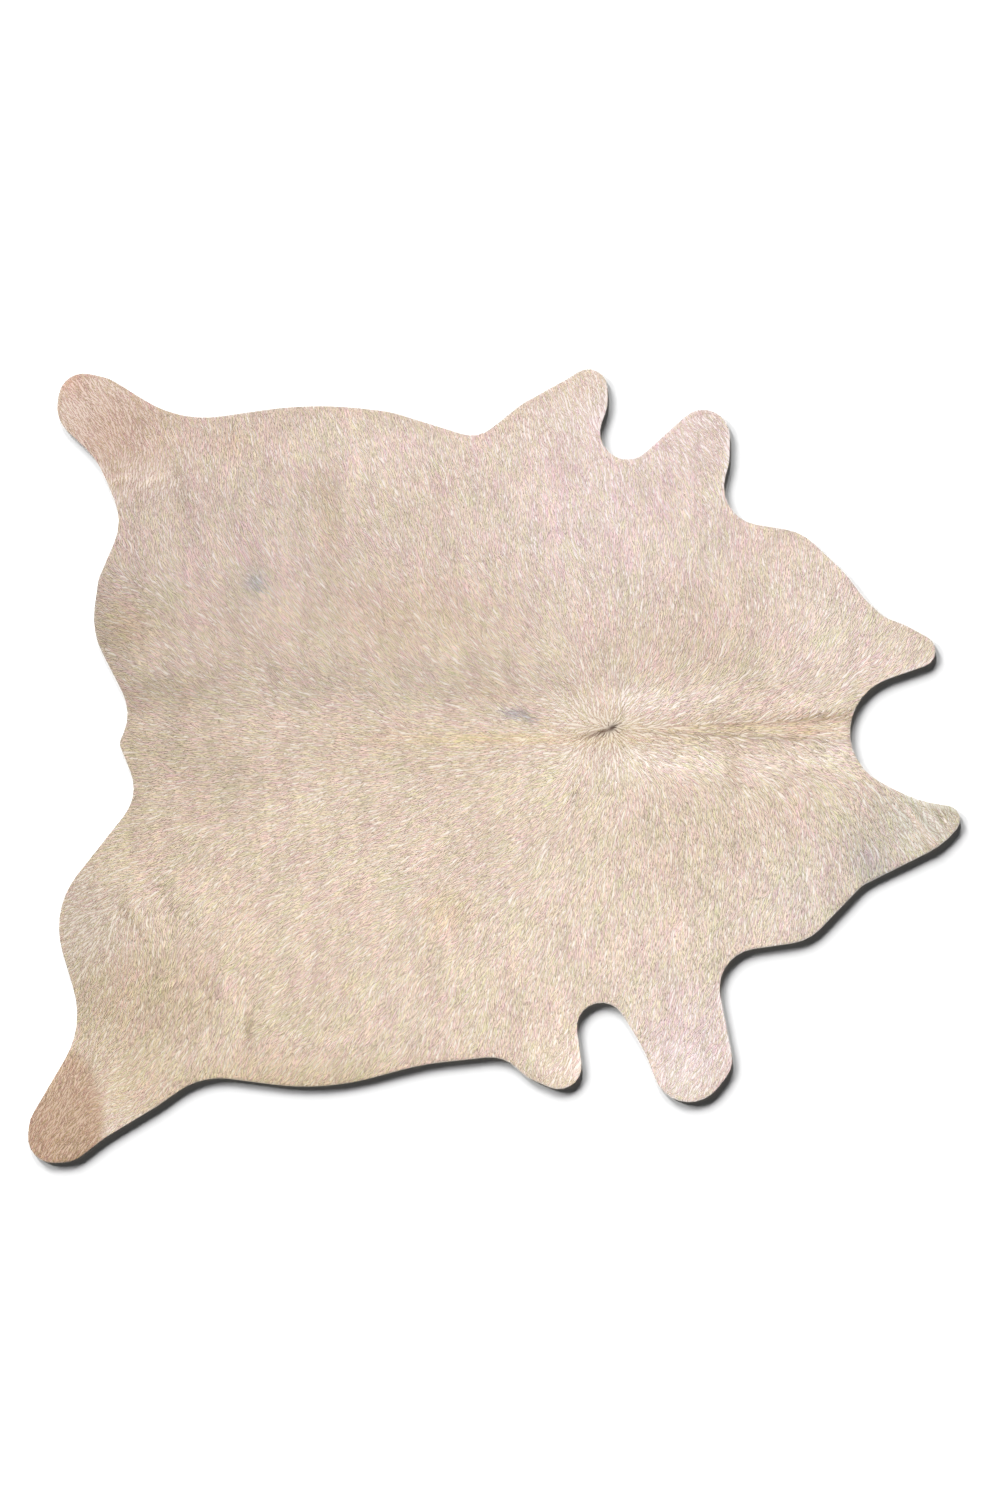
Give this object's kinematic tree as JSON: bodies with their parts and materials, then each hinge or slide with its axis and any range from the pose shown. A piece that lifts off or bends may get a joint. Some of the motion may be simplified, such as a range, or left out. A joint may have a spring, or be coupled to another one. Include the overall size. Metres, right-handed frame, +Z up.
{
  "type": "cowhide rug",
  "caption": "Whole cowhide rug: a flat hair-on hide with its natural outline of legs, belly, rump and a forked neck, in short cream hair.",
  "frame": {"origin": "on the floor under the middle of the rug's outer box", "axes": "+X along the back towards the neck, +Y towards the animal's left side, +Z up out of the hair"},
  "size_m": [2.134, 1.8172, 0.0078],
  "materials": {
    "hide": "tanned cowhide under short cream hair, the underside pale split suede",
    "hair": "short straight hair lying flat, softly glossy, cream to beige with a tan parting"
  },
  "bodies": {
    "root": {"hide": "hide"}
  },
  "joints": []
}
